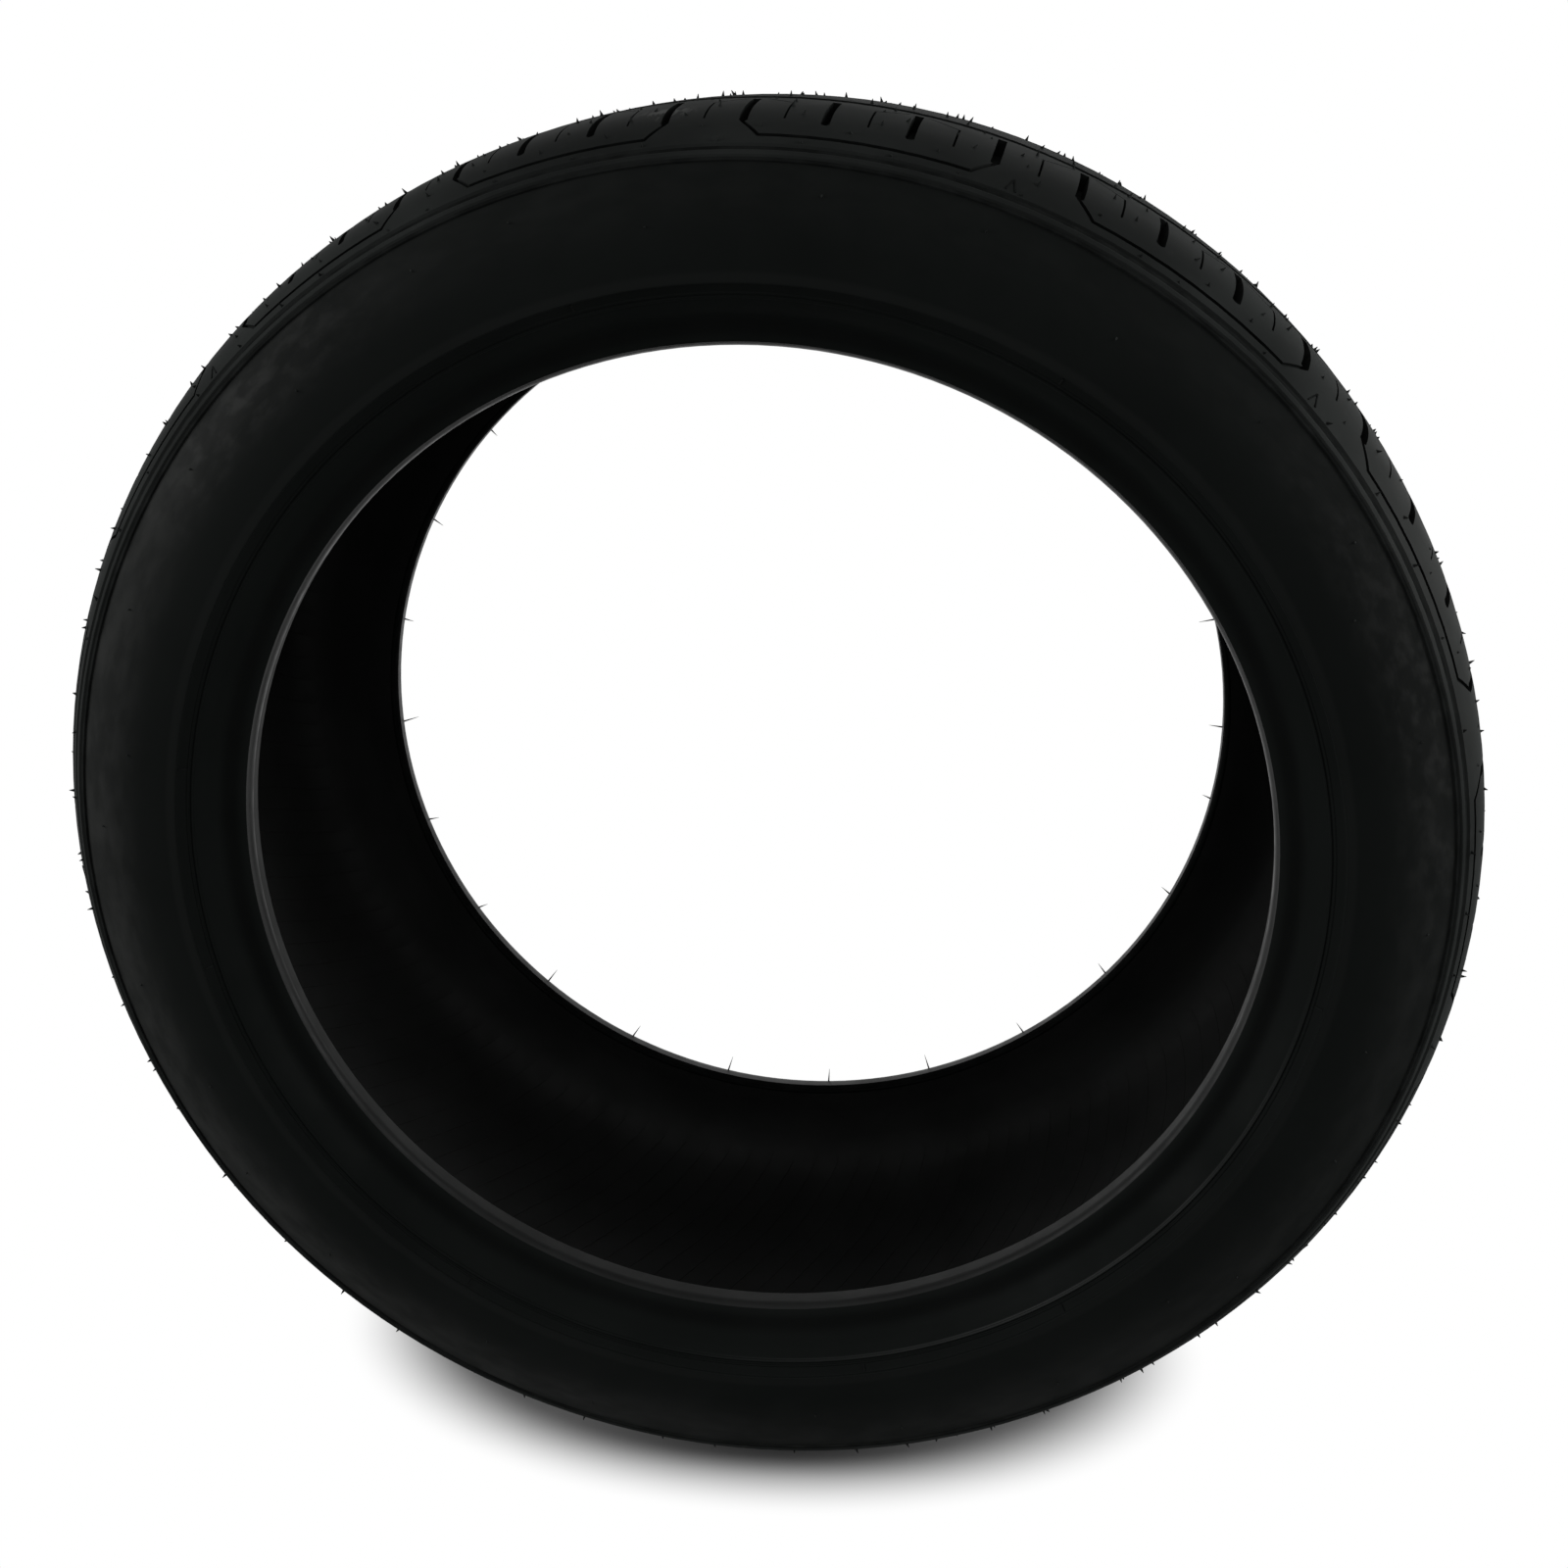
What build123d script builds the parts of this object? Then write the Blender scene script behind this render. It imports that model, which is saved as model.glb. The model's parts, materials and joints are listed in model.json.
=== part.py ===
"""A car tyre: one moulded ring of rubber, standing on its tread, with its wheel's centre as origin.

Millimetres. The axle is +Y, up is +Z, and the outer sidewall faces -Y.
The section is drawn as (radius, place along the axle) from the middle of the tread to one bead,
mirrored to the other bead and turned about the axle. Its round stretches are drawn as short flats
with their ends on the arc, so that the turned ring is made of cones.
"""
import os
from math import degrees, pi, radians, sin, tan

from build123d import *

# Tread: a slightly round crown, then a rounder shoulder
OVERALL_RADIUS = 324.5
CROWN_HALF_WIDTH = 98.0
CROWN_DROP = 6.4
SHOULDER_HALF_WIDTH = 128.0
SHOULDER_DROP = 23.6
SHOULDER_FLATS = 3

# Sidewall: a small step under the shoulder, then a bulge down to the rim protector's crisp edge
SIDEWALL_STEP = 1.2
SIDEWALL_BULGE = 2.2
SIDEWALL_FLATS = 3
SECTION_HALF_WIDTH = 133.6
PROTECTOR_HEIGHT = 27.0

# Bead seats, from heel to toe
BEAD_RADIUS = 228.6
BEAD_HALF_SPACING = 112.0
BEAD_WIDTH = 19.0

# Thickness of the walls, and the slants of the liner
CROWN_THICKNESS = 15.0
SIDEWALL_THICKNESS = 11.6
LINER_FLANK_RISE = 31.0
LINER_CORNER_RISE = 20.0
LINER_CORNER_RUN = 36.0

# Grooves that run round the tread: one in the middle and one beside each shoulder
GROOVE_DEPTH = 7.5
GROOVE_WIDTH = 11.0
GROOVE_DRAFT_DEG = 6.0
OUTER_GROOVE = 50.0

# Cross slots in the shoulders, on a pitch that swells and shrinks round the tyre
SLOT_COUNT = 60
SLOT_WIDTH = 3.6
SLOT_START = 63.0
SLOT_START_DEPTH = 6.5
SLOT_END = 108.5
SLOT_END_DEPTH = 3.0
FIRST_SLOT_DEG = 1.6
PITCH_SPREAD = 0.161
PITCH_WAVES = 2
WIDEST_PITCH_DEG = 33.4

# Flat spot that the tyre's own weight presses into the tread
FLAT_SPOT_DEPTH = 2.0

# How far a cutting body stands clear of the rubber
CLEARANCE = 5.0


def flats(arc, count):
    """The ends of an arc's flats."""
    return [arc @ (i / count) for i in range(count + 1)]


def tread_outline():
    """The tread from its middle to the edge of the shoulder, with a hinge in each groove."""
    middle = (OVERALL_RADIUS, 0)
    crown_edge = (OVERALL_RADIUS - CROWN_DROP, CROWN_HALF_WIDTH)
    shoulder_edge = (OVERALL_RADIUS - SHOULDER_DROP, SHOULDER_HALF_WIDTH)
    crown = TangentArc(middle, crown_edge, tangent=(0, 1))
    shoulder = TangentArc(crown_edge, shoulder_edge, tangent=crown % 1)
    hinges = [crown @ 0, crown @ (OUTER_GROOVE / CROWN_HALF_WIDTH)]
    return hinges + flats(shoulder, SHOULDER_FLATS)


def tread_radius(place):
    """The radius of the tread at one place along the axle."""
    outline = tread_outline()
    for start, end in zip(outline, outline[1:]):
        if start.Y <= place <= end.Y:
            return start.X + (end.X - start.X) * (place - start.Y) / (end.Y - start.Y)
    raise ValueError(f"{place} mm is outside the tread")


def wall_outline():
    """The sidewall from the step under the shoulder to the toe of the bead."""
    top = (OVERALL_RADIUS - SHOULDER_DROP, SHOULDER_HALF_WIDTH - SIDEWALL_STEP)
    protector = (BEAD_RADIUS + PROTECTOR_HEIGHT, SECTION_HALF_WIDTH)
    heel = (BEAD_RADIUS, BEAD_HALF_SPACING)
    toe = (BEAD_RADIUS, BEAD_HALF_SPACING - BEAD_WIDTH)
    return flats(SagittaArc(top, protector, SIDEWALL_BULGE), SIDEWALL_FLATS) + [heel, toe]


def liner_outline():
    """The inside of the section from above the toe of the bead to the middle of the crown."""
    crown = OVERALL_RADIUS - CROWN_THICKNESS
    side = SECTION_HALF_WIDTH - SIDEWALL_THICKNESS
    flank_top = (BEAD_RADIUS + LINER_FLANK_RISE, side)
    corner_foot = (crown - LINER_CORNER_RISE, side)
    corner_top = (crown, side - LINER_CORNER_RUN)
    return [flank_top, corner_foot, corner_top, (crown, 0)]


def groove_section(place):
    """One tread groove: a trapezoid that is open above the tread."""
    floor = tread_radius(place) - GROOVE_DEPTH
    top = tread_radius(place) + CLEARANCE
    spread = tan(radians(GROOVE_DRAFT_DEG))
    narrow = GROOVE_WIDTH / 2 - GROOVE_DEPTH * spread
    wide = GROOVE_WIDTH / 2 + CLEARANCE * spread
    corners = [(floor, place - narrow), (floor, place + narrow), (top, place + wide), (top, place - wide)]
    return make_face(Polyline(*corners, close=True))


def tyre_section():
    """The whole section of the ring, with its grooves."""
    outline = [*tread_outline(), *wall_outline(), *liner_outline()]
    half = make_face(Polyline(*outline, close=True))
    half -= [groove_section(0), groove_section(OUTER_GROOVE)]
    return half + mirror(half, about=Plane.XZ)


def slot_angle(index):
    """The angle of one slot, in degrees up from +X, where the pitch swells and shrinks."""
    even = radians(FIRST_SLOT_DEG) + 2 * pi * index / SLOT_COUNT
    swell = PITCH_SPREAD / PITCH_WAVES * sin(PITCH_WAVES * (even - radians(WIDEST_PITCH_DEG)))
    return degrees(even + swell)


def wedge(corners, spread):
    """A body of flat faces between two copies of an outline, turned apart about the axle."""
    near = Rot(0, spread / 2, 0) * Wire.make_polygon(corners)
    far = Rot(0, -spread / 2, 0) * Wire.make_polygon(corners)
    near_ends = [tuple(vertex) for vertex in near.vertices()]
    far_ends = [tuple(vertex) for vertex in far.vertices()]
    bands = [Wire.make_polygon([near_ends[i - 1], near_ends[i], far_ends[i], far_ends[i - 1]])
             for i in range(len(corners))]
    return Solid(Shell([Face(wire) for wire in [near, far, *bands]]))


def slot_cutter():
    """The body of one slot, standing in the plane of the section."""
    top = OVERALL_RADIUS + CLEARANCE
    start_floor = tread_radius(SLOT_START) - SLOT_START_DEPTH
    end_floor = tread_radius(SLOT_END) - SLOT_END_DEPTH
    corners = [(top, SLOT_START), (start_floor, SLOT_START), (end_floor, SLOT_END), (top, SLOT_END)]
    return wedge(corners, degrees(SLOT_WIDTH / OVERALL_RADIUS))


def tyre():
    """The ring with its shoulder slots and its flat spot."""
    slot = slot_cutter()
    near_row = [Rot(0, -slot_angle(i), 0) * slot for i in range(SLOT_COUNT)]
    far_row = [mirror(cutter, about=Plane.XZ) for cutter in near_row]
    size = 2 * OVERALL_RADIUS
    floor_block = Box(size, size, size, align=(Align.CENTER, Align.CENTER, Align.MAX))
    floor = Pos(0, 0, FLAT_SPOT_DEPTH - OVERALL_RADIUS) * floor_block
    return revolve(tyre_section(), Axis.Y) - near_row - far_row - floor


if __name__ == "__main__":
    os.makedirs("parts", exist_ok=True)
    export_step(tyre(), "parts/tyre.step")
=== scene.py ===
"""A car tyre in a studio: the moulded ring, the vent spews on it, its small moulded marks, and the stage.

It is laid out as an add-on and is run as a script. Metres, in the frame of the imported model: the axle is
+Y, up is +Z and the outer sidewall faces -Y. Angles round the tyre are counted from +X up towards +Z.
"""
import json
import random
from math import atan2, cos, hypot, pi, radians, sin, tan

import bmesh
import bpy
from bpy.props import FloatProperty, FloatVectorProperty, IntProperty, PointerProperty
from mathutils import Matrix, Vector
from mathutils.geometry import interpolate_bezier


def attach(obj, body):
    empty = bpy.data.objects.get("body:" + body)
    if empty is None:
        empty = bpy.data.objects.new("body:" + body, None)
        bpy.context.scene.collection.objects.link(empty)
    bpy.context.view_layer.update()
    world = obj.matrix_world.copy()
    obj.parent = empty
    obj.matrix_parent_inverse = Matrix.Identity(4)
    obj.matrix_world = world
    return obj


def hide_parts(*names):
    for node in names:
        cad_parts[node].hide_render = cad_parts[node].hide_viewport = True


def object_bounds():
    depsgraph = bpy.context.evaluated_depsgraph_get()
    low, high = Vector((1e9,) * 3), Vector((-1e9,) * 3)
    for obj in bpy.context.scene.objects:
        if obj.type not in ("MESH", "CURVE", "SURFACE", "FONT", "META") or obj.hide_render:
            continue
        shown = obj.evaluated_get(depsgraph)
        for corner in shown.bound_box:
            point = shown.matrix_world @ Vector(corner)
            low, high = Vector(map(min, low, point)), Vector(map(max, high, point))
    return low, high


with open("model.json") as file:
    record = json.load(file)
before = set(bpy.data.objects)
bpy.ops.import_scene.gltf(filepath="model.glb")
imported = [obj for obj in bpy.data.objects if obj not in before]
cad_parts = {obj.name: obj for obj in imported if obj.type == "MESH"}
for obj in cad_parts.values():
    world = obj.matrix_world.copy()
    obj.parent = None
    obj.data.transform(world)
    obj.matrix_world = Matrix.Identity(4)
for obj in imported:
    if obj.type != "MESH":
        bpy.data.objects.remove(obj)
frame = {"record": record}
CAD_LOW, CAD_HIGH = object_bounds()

bl_info = {
    "name": "Car Tyre",
    "version": (1, 0, 0),
    "blender": (4, 5, 0),
    "location": "View3D > Sidebar > Tyre",
    "description": "Models a moulded car tyre and the studio stage that it stands on",
    "category": "Object",
}

MM = 0.001
BEAD_BORE = next(mount["dims"] for mount in frame["record"]["mounts"] if mount["name"] == "bead_bore")

# The tread falls away from its middle as a slight crown, and steeply as the shoulder
CROWN_FALL, CROWN_REACH = 5.25 * MM, 100 * MM
SHOULDER_FALL, SHOULDER_REACH, SHOULDER_POWER = 12.1 * MM, 125 * MM, 8.26

# Distances of the tread's rows from its middle, the tuples in mm, and the width of the lines over the sipes
RIB_ROWS = (13, 21, 29, 37)
SLOT_TOP, SIPE_TOP, SIPE_FOOT, SLOT_FOOT = 62 * MM, 75 * MM, 105.5 * MM, 109 * MM
LINE_TOP, LINE_FOOT = 117.2 * MM, 118.8 * MM
SHOULDER_ROWS = (
    58.5, 62, 66, 70.5, 75, 80, 85, 90, 94, 98, 102, 105.5, 109, 111.5, 114.5, 117.2, 118.8, 120.3)
SHOULDER_EDGE = 128 * MM
TAIL_WIDTH = 0.9 * MM

# Faces this far under the tread still belong to it, and a slot's rounded foot keeps this share of its width
TREAD_SKIN = 1 * MM
FOOT_SHARE = 0.4

# Rows of the small rib along the shoulder's edge, between two shallow grooves, in mm:
# distance from the middle, and height over the tread
EDGE_ROWS = (
    (122.1, 0.0), (122.7, -0.9), (124.1, -0.9), (124.8, 0.0), (125.3, 0.4), (126.0, 0.5), (126.7, 0.35),
    (127.1, -0.5), (128.0, -0.8))

# The step under the shoulder, the sidewall's bulge, and the rows of its section as shares of its way
STEP_DROP, STEP_INSET = 1.3 * MM, 1.2 * MM
SIDEWALL_BULGE = 2.2 * MM
SIDEWALL_ROWS = (0, 0.03, 0.1, 0.2, 0.3, 0.4, 0.5, 0.6, 0.7, 0.8, 0.9, 0.97)

# Rows of the flank, in mm: distance down from the rim protector's edge, and height over the straight line
# to the heel
FLANK_ROWS = (
    (0.4, 0.0), (1.2, -0.8), (5.3, -0.8), (5.7, -0.45), (6.2, -0.45), (6.6, -0.95), (7.2, -0.95),
    (7.6, -0.35), (8.4, -0.3), (9.0, -0.8), (10.5, -0.85), (13, -1.0), (16, -1.6), (19, -2.6), (22, -3.1),
    (25, -2.7), (28, -1.5))

# The bead's rounded corners, and how far its toe is wider than its seat
HEEL_ROUNDING, TOE_ROUNDING = 3.5 * MM, 3 * MM
TOE_RISE = 1.4 * MM

# The liner's section: its flank's height, the walls that it leaves, and its corners with their rounding
LINER_FLANK_HEIGHT = 31 * MM
SIDEWALL_THICKNESS, CROWN_THICKNESS = 11.6 * MM, 15 * MM
LINER_FOOT_DROP, LINER_CORNER_INSET = 20 * MM, 36 * MM
LINER_SIDE_ROUNDING, LINER_CROWN_ROUNDING = 14 * MM, 20 * MM

# One group of slots, as a tile of the ring, with its columns of faces and the lines in its liner
SLOTS_IN_TILE = 4
COLUMNS = 12
LINER_LINES = 9

# The liner's lines lean most where they end, at this share of the way from the middle to the bead
LINER_LINES_END = 0.7

# Edges that turn further than this stay sharp
SHARP_ANGLE = radians(24)

# Kinds of cuts in the tread, and the numbers of the rubbers
PLAIN, LINE, SIPE, SLOT = range(4)
TREAD, SIDEWALL, BEAD, LINER, CUT = range(5)

# How far the tread's rubber reaches under the shoulder's edge, and the depths under the tread from which a
# face is painted as a cut, on the tread and on the shoulder's edge, with the cut's darker rubber as painted
# shade
TREAD_REACH = 1.2 * MM
TREAD_CUT_DEPTH, EDGE_CUT_DEPTH = 0.3 * MM, 0.6 * MM

# The depth of a bead's seat, and the width of the smooth strip at its heel on the outer and inner bead,
# which gets the bead's rubber with its painted highlight. Past the strip the inner seat gets the cut's
# darker rubber as painted shade
SEAT_DEPTH = 1.8 * MM
OUTER_STRIP, INNER_STRIP = 4 * MM, 5.5 * MM

# Vent spews on the tread, as distances from its middle in mm. Near the floor there are none
SPEW_SEED = 11
SPEW_PLACES = (11, 27, 40, 58.5, 70, 86, 100, 112.5, 121)
SPEW_LEAN = 0.45
SPEW_CLEARANCE = 14 * MM

# Vent spews on a sidewall, as shares of its way
SIDEWALL_SPEWS = 30
SIDEWALL_SPEW_PLACES = (0.2, 0.24, 0.5)
SIDEWALL_SPEW_LENGTH, SIDEWALL_SPEW_RADIUS = 1.5 * MM, 0.6 * MM

# Hairs on the inner bead, with the first one's angle and their pitch in degrees
HAIRS, FIRST_HAIR, HAIR_PITCH = 24, 0.6, 15.2
HAIR_RADIUS = 0.5 * MM

# How deep a spew or a hair is rooted in the rubber
SPEW_ROOT = 0.3 * MM

# Wear triangles: the groups of slots that end with one, how far before the group's end, half the angle
# between the feet, and distances from the middle of the tread
MARKED_GROUPS = (0, 1, 4, 6, 9, 12)
TRIANGLE_INSET, TRIANGLE_SPREAD = radians(0.6), radians(0.34)
TRIANGLE_TIP, TRIANGLE_MIDDLE, TRIANGLE_FOOT = 114.8 * MM, 118 * MM, 120.8 * MM

# Ticks over the rim line: angles in degrees, both ends in mm down from the rim protector's edge, and depth
# of the groove that they stand in
TICK_ANGLES = (170, 192, 238, 283, 306, 350, 60, 105)
TICK_RUN = (1.5, 5.2)
TICK_SEAT = 0.8 * MM

# The bars that make the marks
BAR_WIDTH = 0.6 * MM
TRIANGLE_HEIGHT, TICK_HEIGHT = 0.35 * MM, 0.4 * MM

# The soft boxes: name, place, width and power
LIGHTS = (
    ("top_light", (0, -0.9, 2.0), 1.2, 2),
    ("right_light", (1.7, -0.35, 0.6), 1.0, 31),
    ("left_light", (-1.7, -0.6, 0.5), 1.0, 30),
    ("front_light", (0.1, -2.0, 0.6), 1.0, 5))

# The world's strength for the rays that light the tyre and for those that look at the studio
LIT_LEVEL, SEEN_LEVEL = 0.12, 1.0

# How far the floor reaches, the ellipse in which it keeps its own dark colour as a painted shadow round the
# tyre's real one, and how that fades to white
FLOOR_REACH = 30
SHADOW_SHIFT, SHADOW_SCALE = (0.03, 0, 0), (5.2, 8.3, 0)
SHADOW_FADE = (0.89, 1.26)


class TyreSizes(bpy.types.PropertyGroup):
    """Sizes of the tyre."""

    overall_radius: FloatProperty(
        name="Overall radius", description="Radius of the tread at its middle",
        default=324.5 * MM, unit="LENGTH")
    half_width: FloatProperty(
        name="Half width", description="From the middle to the rim protector's edge",
        default=CAD_HIGH.y, unit="LENGTH")
    protector_radius: FloatProperty(
        name="Protector radius", description="Radius of the rim protector's edge",
        default=255.6 * MM, unit="LENGTH")
    bead_radius: FloatProperty(
        name="Bead radius", description="Radius of the bead seats",
        default=BEAD_BORE["r_mm"] * MM, unit="LENGTH")
    bead_half_spacing: FloatProperty(
        name="Bead half spacing", description="From the middle to the heel of a bead",
        default=BEAD_BORE["length_mm"] / 2 * MM, unit="LENGTH")
    bead_width: FloatProperty(
        name="Bead width", description="From the heel to the toe of a bead",
        default=13 * MM, unit="LENGTH")
    floor_height: FloatProperty(
        name="Floor height", description="Height of the flat spot under the tread",
        default=CAD_LOW.z, unit="LENGTH")
    groove_depth: FloatProperty(
        name="Groove depth", description="Depth of the grooves round the tread",
        default=7.5 * MM, unit="LENGTH")
    groove_width: FloatProperty(
        name="Groove width", description="Width of the grooves at the tread",
        default=11 * MM, unit="LENGTH")
    groove_place: FloatProperty(
        name="Groove place", description="From the middle to the outer grooves",
        default=50 * MM, unit="LENGTH")
    slot_width: FloatProperty(
        name="Slot width", description="Width of the cross slots",
        default=3.6 * MM, unit="LENGTH")
    slot_top_depth: FloatProperty(
        name="Slot top depth", description="Depth of a slot at its upper end",
        default=6.5 * MM, unit="LENGTH")
    slot_foot_depth: FloatProperty(
        name="Slot foot depth", description="Depth of a slot at its lower end",
        default=3 * MM, unit="LENGTH")
    sipe_width: FloatProperty(
        name="Sipe width", description="Width of the thin cuts between the slots",
        default=0.85 * MM, unit="LENGTH")
    sipe_depth: FloatProperty(
        name="Sipe depth", description="Depth of the thin cuts between the slots",
        default=3.6 * MM, unit="LENGTH")
    line_width: FloatProperty(
        name="Line width", description="Width of the moulded lines on the shoulder",
        default=1.7 * MM, unit="LENGTH")
    line_depth: FloatProperty(
        name="Line depth", description="Depth of the moulded lines on the shoulder",
        default=1.3 * MM, unit="LENGTH")
    group_count: IntProperty(
        name="Slot groups", description="Groups of slots round the tyre",
        default=15, min=3)
    first_group: FloatProperty(
        name="First group", description="Angle where the first group starts",
        default=radians(18.6), subtype="ANGLE")
    pitch_swing: FloatProperty(
        name="Pitch swing", description="How far slots move off an even pitch",
        default=radians(4.61), subtype="ANGLE")
    widest_pitch: FloatProperty(
        name="Widest pitch", description="Angle where the pitch is widest",
        default=radians(33.4), subtype="ANGLE")
    liner_line_width: FloatProperty(
        name="Liner line width", description="Width of the lines in the liner",
        default=0.8 * MM, unit="LENGTH")
    liner_line_depth: FloatProperty(
        name="Liner line depth", description="Depth of the lines in the liner",
        default=0.25 * MM, unit="LENGTH")
    liner_twist: FloatProperty(
        name="Liner twist", description="How far the liner's lines lean",
        default=radians(10.8), subtype="ANGLE")
    spew_length: FloatProperty(
        name="Spew length", description="Length of the vent spews on the tread",
        default=2.4 * MM, unit="LENGTH")
    spew_radius: FloatProperty(
        name="Spew radius", description="Radius of a vent spew at its foot",
        default=0.8 * MM, unit="LENGTH")
    hair_length: FloatProperty(
        name="Hair length", description="Length of the vent hairs on the bead",
        default=8 * MM, unit="LENGTH")


class RubberColours(bpy.types.PropertyGroup):
    """Colours of the rubber."""

    tread: FloatVectorProperty(
        name="Tread", description="Rubber of the tread",
        default=(0.0138, 0.0150, 0.0145), subtype="COLOR", min=0, max=1)
    sidewall: FloatVectorProperty(
        name="Sidewall", description="Rubber of the sidewall",
        default=(0.0036, 0.0043, 0.0040), subtype="COLOR", min=0, max=1)
    bead: FloatVectorProperty(
        name="Bead", description="Smooth rubber of the beads",
        default=(0.0078, 0.0082, 0.0080), subtype="COLOR", min=0, max=1)
    liner: FloatVectorProperty(
        name="Liner", description="Rubber of the liner",
        default=(0.0210, 0.0216, 0.0212), subtype="COLOR", min=0, max=1)
    # Also the colour of painted light: the lighter patches on the tread and sidewall and the band on the
    # protector's edge
    dust: FloatVectorProperty(
        name="Dust", description="Dust and scuffs on the rubber",
        default=(0.032, 0.033, 0.032), subtype="COLOR", min=0, max=1)


class StageSettings(bpy.types.PropertyGroup):
    """The floor, the light and the camera."""

    # Dark, so that the floor stands as a painted shadow within the ellipse round the tyre
    floor: FloatVectorProperty(
        name="Floor", description="Colour of the floor",
        default=(0.16, 0.16, 0.16), subtype="COLOR", min=0, max=1)
    camera_place: FloatVectorProperty(
        name="Camera place", description="Where the camera stands",
        default=(0.1063, -0.8715, 0.3225),
        subtype="TRANSLATION", unit="LENGTH")
    camera_yaw: FloatProperty(
        name="Camera yaw", description="Turn of the camera to the right",
        default=-0.118, subtype="ANGLE")
    camera_pitch: FloatProperty(
        name="Camera pitch", description="Tilt of the camera up",
        default=-0.352, subtype="ANGLE")
    camera_lens: FloatProperty(
        name="Camera lens", description="Focal length on a 36 mm wide sensor",
        default=42.85, subtype="DISTANCE_CAMERA")


def tread_radius(sizes, place):
    """Radius of the tread at a distance from its middle."""
    crown = CROWN_FALL * (place / CROWN_REACH) ** 2
    shoulder = SHOULDER_FALL * (place / SHOULDER_REACH) ** SHOULDER_POWER
    return sizes.overall_radius - crown - shoulder


def tread_lean(sizes, place):
    """Outward direction of the tread: its share along the radius, and its share away from the middle."""
    step = 0.1 * MM
    fall = tread_radius(sizes, place - step) - tread_radius(sizes, place + step)
    return Vector((2 * step, fall)).normalized()


def at(radius, place, angle):
    """A point of the outer half, from its radius, its distance from the middle and its angle."""
    return Vector((radius * cos(angle), -place, radius * sin(angle)))


def on_tread(sizes, place, angle):
    """A point of the outer half's tread."""
    return at(tread_radius(sizes, place), place, angle)


def off_tread(sizes, place, angle):
    """The outward direction at a point of the outer half's tread."""
    lean = tread_lean(sizes, place)
    return at(lean.x, lean.y, angle)


def pitch_angle(sizes, even):
    """The angle to which the swelling pitch moves an angle of the even pitch."""
    return even + sizes.pitch_swing * sin(2 * (even - sizes.widest_pitch))


def rounded(before, corner, after, reach, steps):
    """A corner of the section, rounded from a distance before it to the same distance after it."""
    before, corner, after = Vector(before), Vector(corner), Vector(after)
    start = corner + (before - corner).normalized() * reach
    end = corner + (after - corner).normalized() * reach
    pull = 0.55
    return interpolate_bezier(start, start.lerp(corner, pull), end.lerp(corner, pull), end, steps)


def groove_rows(sizes, place):
    """The section of one groove round the tread, edge to edge."""
    half = sizes.groove_width / 2
    draft = radians(6)
    foot = half - sizes.groove_depth * tan(draft)
    floor = tread_radius(sizes, place) - sizes.groove_depth
    inner, outer = place - half, place + half
    return [(tread_radius(sizes, abs(inner)), inner), (floor, place - foot), (floor, place + foot),
            (tread_radius(sizes, outer), outer)]


def tread_section(sizes):
    """The section from the middle of the tread to the edge of the shoulder."""
    middle = groove_rows(sizes, 0)[2:]
    rows = [(middle[0][0], 0), *middle]
    rows += [(tread_radius(sizes, row * MM), row * MM) for row in RIB_ROWS]
    rows += groove_rows(sizes, sizes.groove_place)
    rows += [(tread_radius(sizes, row * MM), row * MM) for row in SHOULDER_ROWS]
    for row, rise in EDGE_ROWS:
        lean = tread_lean(sizes, row * MM) * rise * MM
        rows.append((tread_radius(sizes, row * MM) + lean.x, row * MM + lean.y))
    return rows


def on_sidewall(sizes, share):
    """A point of the bulging sidewall's section, at a share of its way from the step to the protector."""
    top = Vector((tread_radius(sizes, SHOULDER_EDGE) - STEP_DROP, SHOULDER_EDGE - STEP_INSET))
    down = Vector((sizes.protector_radius, sizes.half_width)) - top
    bulge = Vector((down.y, -down.x)).normalized() * 4 * SIDEWALL_BULGE
    return top + down * share + bulge * share * (1 - share)


def wall_section(sizes):
    """The section from the step under the shoulder, over the sidewall and flank, to the toe of the bead."""
    protector, heel, down, out = flank_lines(sizes)
    toe = bead_toe(sizes)
    rows = [on_sidewall(sizes, share) for share in SIDEWALL_ROWS]
    rows.append(protector)
    rows += [protector + down * run * MM + out * rise * MM for run, rise in FLANK_ROWS]
    rows += rounded(rows[-1], heel, toe, HEEL_ROUNDING, 6)
    rows += [toe.lerp(heel, 0.5), *rounded(heel, toe, flank_top(sizes), TOE_ROUNDING, 10)]
    return rows


def flank_lines(sizes):
    """The rim protector's edge, the bead's heel, and the directions along and out of the line between."""
    protector = Vector((sizes.protector_radius, sizes.half_width))
    heel = Vector((sizes.bead_radius, sizes.bead_half_spacing))
    down = (heel - protector).normalized()
    return protector, heel, down, Vector((down.y, -down.x))


def bead_toe(sizes):
    """The toe of the bead, a little wider than the seat."""
    return Vector((sizes.bead_radius + TOE_RISE, sizes.bead_half_spacing - sizes.bead_width))


def flank_top(sizes):
    """Where the liner's flank reaches its side."""
    return Vector((sizes.bead_radius + LINER_FLANK_HEIGHT, sizes.half_width - SIDEWALL_THICKNESS))


def liner_section(sizes):
    """The section of the liner, from above the toe of the bead to the middle of the crown."""
    toe = bead_toe(sizes)
    flank = flank_top(sizes)
    crown = sizes.overall_radius - CROWN_THICKNESS
    foot = Vector((crown - LINER_FOOT_DROP, flank.y))
    corner = Vector((crown, flank.y - LINER_CORNER_INSET))
    middle = Vector((crown, 0))
    rows = [toe.lerp(flank, 0.22), toe.lerp(flank, 0.42)]
    rows += rounded(toe, flank, foot, LINER_SIDE_ROUNDING, 6)
    rows += rounded(flank, foot, corner, LINER_SIDE_ROUNDING, 6)
    rows += rounded(foot, corner, middle, LINER_CROWN_ROUNDING, 6)
    rows += [corner.lerp(middle, share) for share in (0.45, 0.65, 0.85, 1)]
    return rows


def tile_angle(sizes):
    """The angle of one group of slots on an even pitch."""
    return 2 * pi / sizes.group_count


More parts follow.
